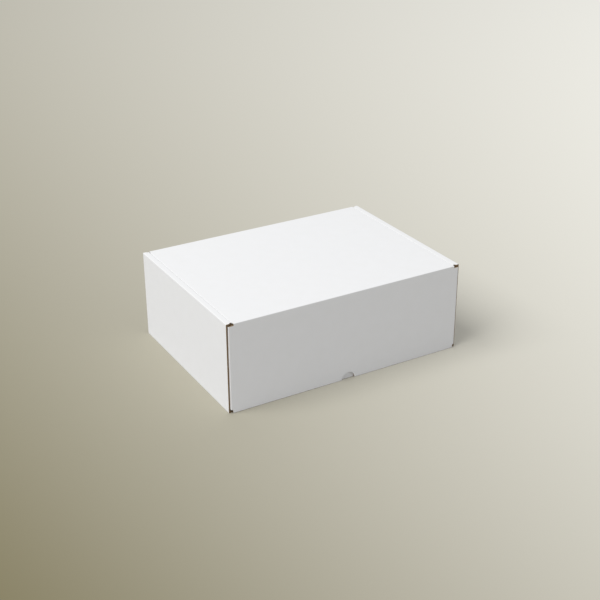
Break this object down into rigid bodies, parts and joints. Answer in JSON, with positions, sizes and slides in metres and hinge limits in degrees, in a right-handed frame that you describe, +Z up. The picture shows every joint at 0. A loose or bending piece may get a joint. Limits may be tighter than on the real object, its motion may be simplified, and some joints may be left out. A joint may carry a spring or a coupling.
{
  "type": "corrugated mailer box",
  "caption": "Shallow corrugated mailer box with rolled side walls, a hinged lid with dust flaps, and an outside front flap with a thumb notch.",
  "frame": {"origin": "centre of the closed box's length and width, on the plane of the base's underside", "axes": "+X along the length, to the right as one faces the front flap; +Y from the front flap to the lid's crease; +Z up"},
  "size_m": [0.294, 0.2134, 0.1046],
  "materials": {
    "tray_board": "white coated liner outside, plain brown liner and edges inside",
    "lid_board": "white coated liner outside, plain brown liner and edges inside",
    "front_flap_board": "white coated liner outside, plain brown liner and edges inside"
  },
  "bodies": {
    "tray": {"tray": "tray_board"},
    "lid": {"lid": "lid_board"},
    "front_flap": {"front_flap": "front_flap_board"}
  },
  "joints": [
    {"name": "lid_hinge", "type": "hinge", "parent": "tray", "child": "lid", "pos_m": [0, 0.1059, 0.10385], "axis": [-1, 0, 0], "range_deg": [0, 175]},
    {"name": "front_flap_hinge", "type": "hinge", "parent": "lid", "child": "front_flap", "pos_m": [0, -0.1059, 0.10385], "axis": [-1, 0, 0], "range_deg": [0, 175]}
  ]
}
